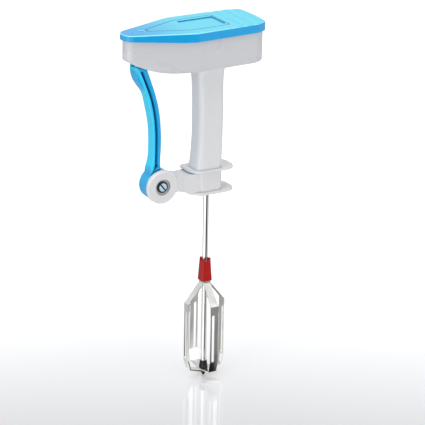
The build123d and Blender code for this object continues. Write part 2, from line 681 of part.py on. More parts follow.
with BuildPart() as base_bracket:
    # neck between the plates, and the spigot that fills the column's foot
    with BuildSketch():
        with Locations(((NECK_X[0] + NECK_X[1]) / 2, 0)):
            RectangleRounded(NECK_X[1] - NECK_X[0], 2 * NECK_HALF_Y, NECK_CORNER)
    extrude(amount=COLUMN_FOOT_Z)
    with BuildSketch(Plane.XY.offset(COLUMN_FOOT_Z)):
        with Locations(((SPIGOT_X[0] + SPIGOT_X[1]) / 2, 0)):
            RectangleRounded(SPIGOT_X[1] - SPIGOT_X[0], 2 * SPIGOT_HALF_Y, SPIGOT_CORNER)
    extrude(amount=SPIGOT_TOP_Z - COLUMN_FOOT_Z)
    # tapering arm towards the pivot
    with BuildSketch(Plane.XZ):
        with BuildLine():
            Polyline(*ARM_SIDE, close=True)
        make_face()
    extrude(amount=ARM_HALF_Y, both=True)
    # rest plates
    for level in PLATE_LEVELS:
        with BuildSketch(Plane.XY.offset(level)):
            add(plate_face)
        extrude(amount=PLATE_THICKNESS)
    # front disc and rear ear, each with its web to the arm
    with BuildSketch(pivot_plane.offset(EAR_INNER_Y)):
        Circle(DISC_RADIUS)
    extrude(amount=-DISC_FRONT_Y - EAR_INNER_Y)
    front_rim = base_bracket.edges().filter_by(
        lambda e: abs(e.center().Y - DISC_FRONT_Y) < 0.01 and abs(e.length - 2 * pi * DISC_RADIUS) < 0.1
    )
    fillet(front_rim, DISC_EDGE_RADIUS)
    with BuildSketch(pivot_plane.offset(-REAR_EAR_Y)):
        Circle(REAR_EAR_RADIUS)
    extrude(amount=REAR_EAR_Y - EAR_INNER_Y)
    with BuildSketch(Plane.XZ.offset(EAR_INNER_Y)):
        with BuildLine():
            Polyline(*FRONT_WEB, close=True)
        make_face()
    extrude(amount=FRONT_WEB_THICKNESS)
    with BuildSketch(Plane.XZ.offset(-REAR_EAR_Y)):
        with BuildLine():
            Polyline(*REAR_WEB, close=True)
        make_face()
    extrude(amount=REAR_EAR_Y - EAR_INNER_Y)
    # recess for the screw's head, bore for the screw, pocket for the nut
    with BuildSketch(pivot_plane.offset(-DISC_FRONT_Y)):
        Circle(DISC_RECESS_RADIUS)
    extrude(amount=-DISC_RECESS_DEPTH, mode=Mode.SUBTRACT)
    with BuildSketch(pivot_plane):
        Circle(PIVOT_SCREW_RADIUS + SEAT_GAP)
    extrude(amount=REAR_EAR_Y + OVERCUT, both=True, mode=Mode.SUBTRACT)
    with BuildSketch(pivot_plane.offset(-REAR_EAR_Y)):
        RegularPolygon(NUT_POCKET_RADIUS, 6)
    extrude(amount=NUT_POCKET_DEPTH, mode=Mode.SUBTRACT)
    # hole that anchors the spring's leg
    with BuildSketch(Plane.YZ.offset(ARM_END_X - OVERCUT)):
        with Locations((SPRING_FIRST_Y + SPRING_LENGTH, PIVOT_Z)):
            Circle(SPRING_WIRE_RADIUS + SHANK_CLEARANCE)
    extrude(amount=SPRING_ANCHOR_DEPTH + OVERCUT, mode=Mode.SUBTRACT)
    # shaft passage with the lower bush's seat, and the base screws' holes
    with BuildSketch(Plane.XY.offset(-OVERCUT)):
        Circle(SHAFT_RADIUS + SHAFT_PASSAGE)
    extrude(amount=SPIGOT_TOP_Z + 2 * OVERCUT, mode=Mode.SUBTRACT)
    with BuildSketch():
        Circle(LOWER_BUSH_RADIUS + SEAT_GAP)
    extrude(amount=BUSH_SEAT_DEPTH, mode=Mode.SUBTRACT)
    with BuildSketch(base_screw_plane):
        with Locations(*base_screw_spots):
            Circle(BASE_SCREW_RADIUS + SEAT_GAP)
    base_screw_reach = BASE_SCREW_START_Y - BASE_SCREW_SEAT_Y + BASE_SCREW_LENGTH
    extrude(amount=base_screw_reach + HEAD_CLEARANCE, mode=Mode.SUBTRACT)
save(base_bracket.part, "base_bracket")

base_screws = []
for screw_x, screw_z in base_screw_spots:
    seat = Plane(origin=(screw_x, BASE_SCREW_SEAT_Y, screw_z), x_dir=(1, 0, 0), z_dir=(0, 1, 0))
    base_screws.append(
        screw(seat, BASE_SCREW_HEAD_RADIUS, BASE_SCREW_HEAD, BASE_SCREW_RADIUS, BASE_SCREW_LENGTH)
    )
save(Compound(children=base_screws), "base_screws")


# ---------------------------------------------------------------- shaft bushes
with BuildPart() as lower_bush:
    with BuildSketch(Plane.XY.offset(LOWER_BUSH_Z)):
        Circle(LOWER_BUSH_RADIUS)
        Circle(SHAFT_RADIUS + RUNNING_GAP, mode=Mode.SUBTRACT)
    extrude(amount=BUSH_SEAT_DEPTH - LOWER_BUSH_Z)
save(lower_bush.part, "lower_bush")

with BuildPart() as floor_bush:
    with BuildSketch(Plane.XY.offset(HOUSING_FLOOR_Z - FLOOR_BUSH_DROP)):
        Circle(BUSH_RADIUS)
    extrude(amount=FLOOR_THICKNESS + FLOOR_BUSH_DROP)
    with BuildSketch(Plane.XY.offset(FLOOR_TOP_Z)):
        Circle(BUSH_RADIUS + BUSH_FLANGE)
    extrude(amount=BUSH_FLANGE_HEIGHT)
    with BuildSketch(Plane.XY.offset(HOUSING_FLOOR_Z - FLOOR_BUSH_DROP)):
        Circle(SHAFT_RADIUS + RUNNING_GAP)
    extrude(amount=FLOOR_BUSH_DROP + FLOOR_THICKNESS + BUSH_FLANGE_HEIGHT, mode=Mode.SUBTRACT)
save(floor_bush.part, "floor_bush")

with BuildPart() as cover_bush:
    with BuildSketch(Plane.XY.offset(SHAFT_PINION_Z[1] + OVERCUT)):
        Circle(BUSH_RADIUS)
        Circle(SHAFT_RADIUS + RUNNING_GAP, mode=Mode.SUBTRACT)
    extrude(amount=COVER_PLATE_Z - SHAFT_PINION_Z[1] - OVERCUT - END_GAP)
save(cover_bush.part, "cover_bush")

with BuildPart() as idler_axle:
    with BuildSketch(Plane.XY.offset(FLOOR_TOP_Z + END_GAP)):
        with Locations((IDLER_X, 0)):
            Circle(IDLER_AXLE_RADIUS)
    extrude(amount=IDLER_Z[2] + AXLE_SEAT_DEPTH - AXLE_END_GAP - FLOOR_TOP_Z)
    chamfer(idler_axle.faces().filter_by(Axis.Z).edges(), IDLER_AXLE_CHAMFER)
save(idler_axle.part, "idler_axle")


# ---------------------------------------------------------------- pivot hardware
with BuildPart() as pivot_screw:
    head_seat = pivot_plane.offset(-DISC_FRONT_Y - DISC_RECESS_DEPTH)
    with BuildSketch(head_seat):
        Circle(PIVOT_HEAD_RADIUS)
    extrude(amount=PIVOT_HEAD_HEIGHT)
    fillet(pivot_screw.faces().sort_by(Axis.Y)[0].edges(), PIVOT_HEAD_EDGE)
    with BuildSketch(head_seat.offset(PIVOT_HEAD_HEIGHT)):
        Rectangle(2.4 * PIVOT_HEAD_RADIUS, PIVOT_SLOT_WIDTH, rotation=PIVOT_SLOT_TURN)
    extrude(amount=-PIVOT_SLOT_DEPTH, mode=Mode.SUBTRACT)
    with BuildSketch(head_seat):
        Circle(PIVOT_SCREW_RADIUS)
    extrude(amount=-(REAR_EAR_Y - DISC_FRONT_Y - DISC_RECESS_DEPTH))
save(pivot_screw.part, "pivot_screw")

with BuildPart() as pivot_nut:
    with BuildSketch(pivot_plane.offset(-REAR_EAR_Y - NUT_PROUD)):
        RegularPolygon(NUT_RADIUS, 6)
        Circle(PIVOT_SCREW_RADIUS + SEAT_GAP, mode=Mode.SUBTRACT)
    extrude(amount=NUT_HEIGHT)
    chamfer(pivot_nut.faces().sort_by(Axis.Y)[-1].outer_wire().edges(), NUT_CHAMFER)
save(pivot_nut.part, "pivot_nut")

with BuildPart() as pivot_sleeve:
    with BuildSketch(pivot_plane.offset(SLEEVE_END_GAP - EAR_INNER_Y)):
        Circle(SLEEVE_RADIUS)
        Circle(PIVOT_SCREW_RADIUS + SEAT_GAP, mode=Mode.SUBTRACT)
    extrude(amount=2 * (EAR_INNER_Y - SLEEVE_END_GAP))
save(pivot_sleeve.part, "pivot_sleeve")

pivot_washers = []
for washer_y in (EAR_INNER_Y - SLEEVE_END_GAP, SLEEVE_END_GAP + PIVOT_WASHER - EAR_INNER_Y):
    with BuildPart() as washer:
        with BuildSketch(pivot_plane.offset(-washer_y)):
            Circle(PIVOT_WASHER_RADIUS)
            Circle(SLEEVE_RADIUS + SEAT_GAP, mode=Mode.SUBTRACT)
        extrude(amount=PIVOT_WASHER)
    pivot_washers.append(washer.part)
save(Compound(children=pivot_washers), "pivot_washers")

# torsion spring: its first leg is in the lever's hub, its last leg in the arm
with BuildPart() as return_spring:
    with BuildLine() as coil:
        Helix(
            pitch=SPRING_LENGTH / SPRING_TURNS,
            height=SPRING_LENGTH,
            radius=SPRING_COIL_RADIUS,
            center=(PIVOT_X, SPRING_FIRST_Y, PIVOT_Z),
            direction=(0, 1, 0),
        )
    with BuildSketch(Plane(origin=coil.line @ 0, z_dir=coil.line % 0)):
        Circle(SPRING_WIRE_RADIUS)
    sweep(is_frenet=True)
    with BuildSketch(Plane.XY.offset(PIVOT_Z + SPRING_COIL_RADIUS - SPRING_WIRE_RADIUS / 2)):
        with Locations((PIVOT_X, SPRING_FIRST_Y)):
            Circle(SPRING_WIRE_RADIUS)
    extrude(amount=SPRING_LEG)
    with BuildSketch(Plane.YZ.offset(PIVOT_X + SPRING_COIL_RADIUS - SPRING_WIRE_RADIUS / 2)):
        with Locations((SPRING_FIRST_Y + SPRING_LENGTH, PIVOT_Z)):
            Circle(SPRING_WIRE_RADIUS)
    extrude(amount=ARM_END_X + SPRING_ANCHOR_DEPTH - OVERCUT - PIVOT_X - SPRING_COIL_RADIUS)
save(return_spring.part, "return_spring")


# ---------------------------------------------------------------- squeeze lever
with BuildPart() as squeeze_lever:
    with BuildSketch(Plane.XZ):
        with BuildLine():
            outer = Spline(*LEVER_OUTER)
            inner = Spline(*LEVER_INNER)
            Line(outer @ 1, inner @ 0)
            Line(inner @ 1, outer @ 0)
        make_face()
    extrude(amount=LEVER_HALF_Y, both=True)
    long_edges = squeeze_lever.edges().filter_by(lambda e: e.length > LEVER_LONG_EDGE)
    fillet(long_edges, LEVER_EDGE_RADIUS)
    # fork that straddles the rack's tongue
    with BuildSketch(Plane.XZ):
        with BuildLine():
            Polyline(*FORK_SIDE, close=True)
        make_face()
    extrude(amount=FORK_OUTER_Y, both=True)
    with BuildSketch(Plane.XZ):
        with Locations((PEG_X, PEG_Z)):
            Rectangle(THROAT_LENGTH, THROAT_HEIGHT)
        with Locations((PIVOT_X, PIVOT_Z)):
            Circle(THROAT_RADIUS, mode=Mode.SUBTRACT)
    extrude(amount=FORK_INNER_Y, both=True, mode=Mode.SUBTRACT)
    with BuildSketch(Plane.XZ):
        with Locations((PEG_X, PEG_Z)):
            Circle(PEG_RADIUS + SEAT_GAP)
    extrude(amount=FORK_OUTER_Y + OVERCUT, both=True, mode=Mode.SUBTRACT)
    # hub
    with BuildSketch(Plane.XZ):
        with Locations((PIVOT_X, PIVOT_Z)):
            Circle(HUB_RADIUS)
    extrude(amount=HUB_HALF_Y, both=True)
    with BuildSketch(Plane.XZ):
        with Locations((PIVOT_X, PIVOT_Z)):
            Circle(SLEEVE_RADIUS + RUNNING_GAP)
    extrude(amount=HUB_HALF_Y + OVERCUT, both=True, mode=Mode.SUBTRACT)
    # side grooves
    for side in (1, -1):
        with BuildSketch(Plane.XZ.offset(side * LEVER_HALF_Y)):
            with BuildLine():
                right = Spline(*GROOVE_RIGHT)
                left = Spline(*GROOVE_LEFT)
                Line(left @ 1, right @ 0)
                Polyline(right @ 1, *GROOVE_FOOT, left @ 0)
            make_face()
        extrude(amount=-side * GROOVE_DEPTH, mode=Mode.SUBTRACT)
    # chamber for the spring, with a window for its fixed leg
    with BuildSketch(Plane.XZ.offset(-HUB_HALF_Y)):
        with Locations((PIVOT_X, PIVOT_Z)):
            Circle(SPRING_CHAMBER_RADIUS)
            Circle(SPRING_CHAMBER_CORE, mode=Mode.SUBTRACT)
    extrude(amount=HUB_HALF_Y - SPRING_CHAMBER_Y, mode=Mode.SUBTRACT)
    with BuildSketch(Plane.XZ.offset(-HUB_HALF_Y)):
        with BuildLine():
            Polyline(*[(PIVOT_X + x, PIVOT_Z + z) for x, z in SPRING_WINDOW], close=True)
        make_face()
    extrude(amount=HUB_HALF_Y - SPRING_FIRST_Y - SPRING_LENGTH + OVERCUT, mode=Mode.SUBTRACT)
    with BuildSketch(Plane.XY.offset(PIVOT_Z + SPRING_COIL_RADIUS)):
        with Locations((PIVOT_X, SPRING_FIRST_Y)):
            Circle(SPRING_WIRE_RADIUS + SPRING_LEG_GAP)
    extrude(amount=SPRING_LEG + SPRING_WIRE_RADIUS, mode=Mode.SUBTRACT)
save(squeeze_lever.part, "squeeze_lever")

with BuildPart() as rack_pin:
    with BuildSketch(Plane.XZ):
        with Locations((PEG_X, PEG_Z)):
            Circle(PEG_RADIUS)
    extrude(amount=FORK_OUTER_Y, both=True)
    chamfer(rack_pin.faces().filter_by(Axis.Y).edges(), PEG_CHAMFER)
save(rack_pin.part, "rack_pin")


# ---------------------------------------------------------------- drive rack
with BuildPart() as drive_rack:
    flank_root = TOOTH_HALF_WIDTH + DEDENDUM * tan(PRESSURE_ANGLE)
    flank_tip = TOOTH_HALF_WIDTH - ADDENDUM * tan(PRESSURE_ANGLE)
    root_y = RACK_PITCH_Y - DEDENDUM
    tip_y = RACK_PITCH_Y + ADDENDUM
    tooth_points = []
    for tooth in range(RACK_TEETH):
        centre_x = IDLER_X + (RACK_FIRST_TOOTH - tooth) * RACK_PITCH
        tooth_points += [
            (centre_x + flank_root, root_y),
            (centre_x + flank_tip, tip_y),
            (centre_x - flank_tip, tip_y),
            (centre_x - flank_root, root_y),
        ]
    with BuildSketch(Plane.XY.offset(RACK_Z[0])):
        with BuildLine():
            Polyline(
                [(RACK_BRIDGE_X[0], RACK_BACK_Y), (RACK_END_X, RACK_BACK_Y), (RACK_END_X, root_y)]
                + tooth_points
                + [(RACK_BRIDGE_X[0], root_y)],
                close=True,
            )
        make_face()
        with Locations((sum(RACK_BRIDGE_X) / 2, (RACK_BACK_Y + TONGUE_HALF_Y) / 2)):
            Rectangle(RACK_BRIDGE_X[1] - RACK_BRIDGE_X[0], TONGUE_HALF_Y - RACK_BACK_Y)
    extrude(amount=RACK_Z[1] - RACK_Z[0])
    with BuildSketch(Plane.XZ):
        with BuildLine():
            Polyline(
                (TONGUE_X, RACK_Z[0]),
                (RACK_BRIDGE_X[1], RACK_Z[0]),
                (RACK_BRIDGE_X[1], RACK_Z[1]),
                (TONGUE_STEP_X, TONGUE_TOP_Z),
                (TONGUE_X, TONGUE_TOP_Z),
                close=True,
            )
        make_face()
    extrude(amount=TONGUE_HALF_Y, both=True)
    with BuildSketch(Plane.XZ):
        with Locations((PEG_X, sum(PEG_SLOT_Z) / 2)):
            SlotOverall(PEG_SLOT_Z[1] - PEG_SLOT_Z[0], 2 * PEG_SLOT_HALF_WIDTH, rotation=90)
    extrude(amount=TONGUE_HALF_Y + OVERCUT, both=True, mode=Mode.SUBTRACT)
save(drive_rack.part, "drive_rack")


# ---------------------------------------------------------------- gears
idler_pinion_face = gear_face(PINION_TEETH, 0)
idler_wheel_face = gear_face(WHEEL_TEETH, 0)
shaft_pinion_face = gear_face(PINION_TEETH, 180 / PINION_TEETH)

with BuildPart() as idler_gear:
    with BuildSketch(Plane.XY.offset(IDLER_Z[0])):
        with Locations((IDLER_X, 0)):
            add(idler_pinion_face)
    extrude(amount=IDLER_Z[1] - IDLER_Z[0])
    with BuildSketch(Plane.XY.offset(IDLER_Z[1])):
        with Locations((IDLER_X, 0)):
            add(idler_wheel_face)
    extrude(amount=IDLER_Z[2] - IDLER_Z[1])
    # ring recess that keeps the wheel's web thin
    with BuildSketch(Plane.XY.offset(IDLER_Z[2])):
        with Locations((IDLER_X, 0)):
            Circle(WEB_RECESS_RADII[1])
            Circle(WEB_RECESS_RADII[0], mode=Mode.SUBTRACT)
    extrude(amount=-WEB_RECESS_DEPTH, mode=Mode.SUBTRACT)
    with BuildSketch(Plane.XY.offset(IDLER_Z[0])):
        with Locations((IDLER_X, 0)):
            Circle(IDLER_AXLE_RADIUS + RUNNING_GAP)
    extrude(amount=IDLER_Z[2] - IDLER_Z[0], mode=Mode.SUBTRACT)
save(idler_gear.part, "idler_gear")

with BuildPart() as shaft_pinion:
    with BuildSketch(Plane.XY.offset(SHAFT_PINION_Z[0])):
        add(shaft_pinion_face)
        Circle(SHAFT_RADIUS + SEAT_GAP, mode=Mode.SUBTRACT)
    extrude(amount=SHAFT_PINION_Z[1] - SHAFT_PINION_Z[0])
save(shaft_pinion.part, "shaft_pinion")


# ---------------------------------------------------------------- shaft
with BuildPart() as drive_shaft:
    with BuildSketch(Plane.XY.offset(SHAFT_SHOULDER_Z)):
        Circle(SHAFT_RADIUS)
    extrude(amount=SHAFT_TOP_Z - SHAFT_SHOULDER_Z)
    chamfer(drive_shaft.faces().sort_by(Axis.Z)[-1].edges(), SHAFT_TOP_CHAMFER)
    with BuildSketch(Plane.XY.offset(STUD_END_Z)):
        Circle(STUD_RADIUS)
    extrude(amount=SHAFT_SHOULDER_Z - STUD_END_Z)
    # groove for the clip
    with BuildSketch(Plane.XY.offset(CLIP_Z)):
        Circle(SHAFT_RADIUS + OVERCUT)
        Circle(SHAFT_RADIUS - CLIP_GROOVE[0], mode=Mode.SUBTRACT)
    extrude(amount=CLIP_GROOVE[1], mode=Mode.SUBTRACT)
save(drive_shaft.part, "drive_shaft")

with BuildPart() as retaining_clip:
    with BuildSketch(Plane.XY.offset(CLIP_Z + (CLIP_GROOVE[1] - CLIP_THICKNESS) / 2)):
        Circle(CLIP_RADIUS)
        Circle(SHAFT_RADIUS - CLIP_GROOVE[0] + SEAT_GAP, mode=Mode.SUBTRACT)
        with Locations((0, CLIP_RADIUS)):
            Rectangle(CLIP_MOUTH, 2 * CLIP_RADIUS, mode=Mode.SUBTRACT)
    extrude(amount=CLIP_THICKNESS)
save(retaining_clip.part, "retaining_clip")

thrust_washers = []
for washer_z in THRUST_WASHER_Z:
    with BuildPart() as washer:
        with BuildSketch(Plane.XY.offset(washer_z)):
            Circle(THRUST_WASHER_RADIUS)
            Circle(SHAFT_RADIUS + SEAT_GAP, mode=Mode.SUBTRACT)
        extrude(amount=THRUST_WASHER)
    thrust_washers.append(washer.part)
save(Compound(children=thrust_washers), "thrust_washers")


# ---------------------------------------------------------------- beater
with BuildPart() as beater_hub:
    with BuildSketch(Plane.XY.offset(HUB_BOTTOM_Z)):
        RectangleRounded(HUB_BOTTOM_SIDE, HUB_BOTTOM_SIDE, HUB_CORNERS[1])
    with BuildSketch(Plane.XY.offset(HUB_TOP_Z)):
        RectangleRounded(HUB_TOP_SIDE, HUB_TOP_SIDE, HUB_CORNERS[0])
    loft()
    # notches that crown the top edge
    for notch_plane in (Plane.XZ, Plane.YZ):
        with BuildSketch(notch_plane):
            with Locations((0, HUB_TOP_Z)):
                SlotOverall(2 * HUB_NOTCH_DEPTH, 2 * HUB_NOTCH_RADIUS, rotation=90)
        extrude(amount=HUB_TOP_SIDE, both=True, mode=Mode.SUBTRACT)
    with BuildSketch(Plane.XY.offset(HUB_BOTTOM_Z)):
        Circle(SHAFT_RADIUS + SEAT_GAP)
    extrude(amount=HUB_TOP_Z - HUB_BOTTOM_Z, mode=Mode.SUBTRACT)
save(beater_hub.part, "beater_hub")


def blade_loop(crossing_z):
    """A U-shaped steel strip in the XZ plane, serrated and slotted, that crosses the axis at crossing_z."""
    half = [
        (BLADE_TAB_X, HUB_BOTTOM_Z + 2 * BLADE_TAB_LENGTH),
        (BLADE_TAB_X, BLADE_NECK_Z),
        (BLADE_REACH, BLADE_SHOULDER_Z),
        (BLADE_REACH, BLADE_HEEL_Z),
        (BLADE_FOOT_X, BLADE_FOOT_Z),
        (BLADE_CROSSING_X, crossing_z),
    ]
    cut_reach = BLADE_REACH + OVERCUT
    straight_z = BLADE_NECK_Z - BLADE_BEND_RADIUS
    with BuildPart() as loop:
        with BuildSketch(Plane.XZ) as profile:
            with BuildLine():
                Polyline(half + [(-x, z) for x, z in reversed(half)], close=True)
            make_face()
            for bend_z, bend_radius in (
                (BLADE_NECK_Z, BLADE_BEND_RADIUS),
                (BLADE_SHOULDER_Z, BLADE_SHOULDER_RADIUS),
                (BLADE_HEEL_Z, BLADE_SHOULDER_RADIUS),
                (BLADE_FOOT_Z, BLADE_BEND_RADIUS),
                (crossing_z, BLADE_BEND_RADIUS),
            ):
                fillet(profile.vertices().filter_by(lambda v: abs(v.Z - bend_z) < 0.1), bend_radius)
            offset(amount=-BLADE_THICKNESS, mode=Mode.SUBTRACT)
        extrude(amount=BLADE_HALF_WIDTH, both=True)
        # the strip is narrower on its sloping shoulders, and narrower again inside the hub
        for low_z, high_z, half_width in (
            (BLADE_SHOULDER_Z + BLADE_NARROW_STEP, straight_z, BLADE_NECK_HALF_WIDTH),
            (straight_z, HUB_BOTTOM_Z, BLADE_TAB_X - BLADE_THICKNESS - CROSSING_GAP),
            (HUB_BOTTOM_Z, HUB_BOTTOM_Z + 2 * BLADE_TAB_LENGTH, BLADE_TAB_HALF_WIDTH),
        ):
            trim = BLADE_HALF_WIDTH + OVERCUT - half_width
            with BuildSketch(Plane.YZ):
                for side in (1, -1):
                    with Locations((side * (half_width + trim / 2), (low_z + high_z) / 2)):
                        Rectangle(trim, high_z - low_z)
            extrude(amount=cut_reach, both=True, mode=Mode.SUBTRACT)
        with BuildSketch(Plane.XY.offset(HUB_BOTTOM_Z + BLADE_TAB_LENGTH)):
            Rectangle(2 * cut_reach, 2 * cut_reach)
        extrude(amount=2 * BLADE_TAB_LENGTH, mode=Mode.SUBTRACT)
        # serrated edges
        with BuildSketch(Plane.YZ):
            with Locations((0, SERRATION_Z)):
                with GridLocations(2 * BLADE_HALF_WIDTH, SERRATION_PITCH, 2, SERRATION_COUNT):
                    Rectangle(SERRATION_SIZE, SERRATION_SIZE, rotation=45)
        extrude(amount=cut_reach, both=True, mode=Mode.SUBTRACT)
        # one slot in each leg, off-centre the same way round
        slot_shift = BLADE_THIN_LEG + BLADE_SLOT_WIDTH / 2 - BLADE_HALF_WIDTH
        for side in (1, -1):
            with BuildSketch(Plane.YZ):
                with Locations((slot_shift * side, BLADE_SLOT_Z)):
                    SlotOverall(BLADE_SLOT_LENGTH, BLADE_SLOT_WIDTH, rotation=90)
            extrude(amount=side * cut_reach, mode=Mode.SUBTRACT)
        with BuildSketch(Plane.XY.offset(crossing_z)):
            Circle(STUD_RADIUS + SEAT_GAP)
        extrude(amount=2 * BLADE_THICKNESS, both=True, mode=Mode.SUBTRACT)
    return loop.part


upper_crossing_z = LOWER_CROSSING_Z + BLADE_THICKNESS + CROSSING_GAP
save(blade_loop(LOWER_CROSSING_Z), "beater_loop_x")
save(blade_loop(upper_crossing_z).rotate(Axis.Z, 90), "beater_loop_y")

with BuildPart() as blade_collar:
    collar_foot_z, collar_rim_z, collar_top_z = [SHAFT_SHOULDER_Z + height for height in COLLAR_HEIGHTS]
    with BuildSketch(Plane.XZ):
        with BuildLine():
            Polyline(
                (SHAFT_RADIUS + SEAT_GAP, collar_top_z),
                (SHAFT_RADIUS + COLLAR_LIP, collar_top_z),
                (COLLAR_RADIUS, collar_rim_z),
                (COLLAR_RADIUS, collar_foot_z),
                (SHAFT_RADIUS + SEAT_GAP, collar_foot_z),
                close=True,
            )
        make_face()
    revolve(axis=Axis.Z)
save(blade_collar.part, "blade_collar")

with BuildPart() as tip_nut:
    nut_top_z = LOWER_CROSSING_Z - CROSSING_GAP
    stud_seat_z = STUD_END_Z - CROSSING_GAP
    with BuildSketch(Plane.XZ):
        with BuildLine():
            Polyline(
                (0, TIP_Z),
                (TIP_POINT_RADIUS, TIP_Z),
                (TIP_NUT_RADIUS, LOWER_CROSSING_Z - TIP_CONE_DROP),
                (TIP_NUT_RADIUS, nut_top_z),
                (STUD_RADIUS + SEAT_GAP, nut_top_z),
                (STUD_RADIUS + SEAT_GAP, stud_seat_z),
                (0, stud_seat_z),
                close=True,
            )
        make_face()
    revolve(axis=Axis.Z)
save(tip_nut.part, "tip_nut")
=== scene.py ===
"""Looks of the squeeze-lever egg beater: materials, studio, and the camera at the photograph's angle."""
import math

import bpy
from mathutils import Matrix, Vector


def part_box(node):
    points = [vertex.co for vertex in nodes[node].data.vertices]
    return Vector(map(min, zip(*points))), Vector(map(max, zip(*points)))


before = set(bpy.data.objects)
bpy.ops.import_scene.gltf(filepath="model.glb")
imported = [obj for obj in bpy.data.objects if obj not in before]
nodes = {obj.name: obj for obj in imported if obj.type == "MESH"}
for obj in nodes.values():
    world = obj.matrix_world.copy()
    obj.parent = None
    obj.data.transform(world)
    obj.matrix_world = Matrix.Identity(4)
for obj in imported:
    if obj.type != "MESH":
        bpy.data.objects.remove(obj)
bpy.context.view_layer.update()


# ---------------------------------------------------------------- driving values, in metres
BEATER_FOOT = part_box("tip_nut")[0]
FLOOR_GAP = 0.0004
SMOOTH_ANGLE = math.radians(32)

CAMERA_AZIMUTH = math.radians(-31.0)
CAMERA_ELEVATION = math.radians(20.0)
CAMERA_ROLL = math.radians(1.03)
CAMERA_DISTANCE = 2.5
CAMERA_LENS = 240.25
CAMERA_SENSOR = 36.0
CAMERA_CLIP = (0.05, 60.0)
TARGET_RIGHT = 0.00586      # how far the view's centre lies to the right of the shaft
TARGET_HEIGHT = -0.02162

# where the painted light and shade on the pieces lie, in the pieces' own frames
PIVOT = (-0.050, 0.0133)    # the lever's axis, as x and z
PIVOT_HEAD_FACE = 0.0037    # radius of the bright face of the pivot screw's head; the rim outside it has painted shade
PIVOT_SLOT_Y = -0.0103      # the slot's floor, which has painted shade, lies behind this
GROOVE_HALF_Y = 0.0045      # the lever's grooved faces lie nearer its middle than this
GROOVE_Z = (0.025, 0.1185)
LEVER_GROOVE_X = -0.05395   # the groove's middle, which bends away above LEVER_BEND_Z
LEVER_BEND_Z = 0.046
LEVER_BEND_POWER = 2.61
LEVER_BEND = 14.0
PALM_EDGE_SHADE = (-0.0058, -0.0042)      # where the painted light strip between painted shades fades in and out, from the groove's middle
COLUMN_SIDE_SHADE = (-0.0024, -0.0012)
LID_NOSE_SHADE_X = (-0.072, -0.025)       # the painted shade fades out from the nose over this length
CREASE_SHADE_REACH = 0.0025       # how far the painted shade in grooves and joints reaches
EVERYWHERE = 1.0            # past every piece

# how far a normal points along an axis, from nought to one
LID_UPRIGHT_SHADE = (0.35, 0.80)  # a face has painted shade below the first, and none above the second
# the painted highlight on the lid's rims lies between these
LID_RIM_HIGHLIGHT = (0.30, 0.88)
GROOVE_FACING = (0.7, 2.0)  # the groove's floor faces sideways more than the first

CREASE_SHADE_OPENNESS = (0.35, 0.9)       # full painted crease shade below the first, none above the second
CREASE_SAMPLES = 8

# grain of each noise, in features per metre, and the part of the noise's range that is used
FLOW_GRAIN = 35.0
FLOW_STRETCH = (1, 1, 0.35)         # longer upwards
FLOW_RANGE = (0.2, 0.8)
GLOSS_GRAIN = 60.0
GLOSS_RANGE = (0.3, 0.7)
GLOSS_SPREAD = (0.96, 1.04)         # times the roughness
RIPPLE_GRAIN = 700.0
RIPPLE_STRENGTH = 0.03
SCRATCH_GRAIN = 420.0
SCRATCH_RANGE = (0.25, 0.75)
SCRATCH_SPREAD = (0.7, 1.5)         # times the roughness
SCRATCH_STRENGTH = 0.04
SMEAR_GRAIN = 45.0
SMEAR_RANGE = (0.35, 0.7)
SMEAR_DIM = 0.88            # brightness of the dullest steel
SHEET_GRAIN = 70.0
RELIEF = 0.0001             # depth of ripples and scratches at full strength
PLASTIC_IOR = 1.5
COAT_ROUGHNESS = 0.06
GLOW_DEPTH = 0.004          # how far light spreads inside white plastic

SKY_COLOUR = (0.93, 0.95, 1.0)
SKY_STRENGTH = 0.42
SKY_BANDS = (               # the sky in glossy surfaces: degrees to the right of the camera, brightness
    (-180, 0.70),
    (-125, 0.75),
    (-100, 1.0),
    (40, 1.9),
    (67, 1.9),
    (73, 0.80),
    (180, 0.70),
)
FLOOR_SIZE = 40.0
FLOOR_COLOUR = (0.76, 0.76, 0.765)
FLOOR_GRAIN = 3.0
FLOOR_ROUGHNESS = (0.05, 0.08)
FLOOR_IOR = 2.0
FLOOR_GLOW = (0.60, 0.0)    # behind the beater, in front of it
FLOOR_FADE = (-0.26, 0.18)  # where that changes, towards the camera
STUDIO_BANDS = (            # the floor in glossy surfaces: degrees to the right of the camera, brightness
    (-180, 0.30),
    (-120, 0.45),
    (-90, 1.0),
    (-62, 1.0),
    (-52, 2.2),
    (-34, 2.2),
    (-20, 1.0),
    (6, 1.0),
    (12, 0.0),
    (50, 0.02),
    (62, 0.36),
    (75, 0.75),
    (120, 0.72),
    (180, 0.30),
)
SOFT_BOXES = (              # name, position, the point it faces, size, power in watts
    ("top_box", (-0.1, -0.1, 1.6), (0, 0, 0), (1.6, 1.6), 16.5),
    ("left_box", (-1.5, -0.6, 0.5), (0, 0, 0), (0.5, 1.4), 5.0),
    ("low_box", (0.5, -1.5, 0.1), (0, 0, 0.05), (1.2, 0.5), 3.5),
)


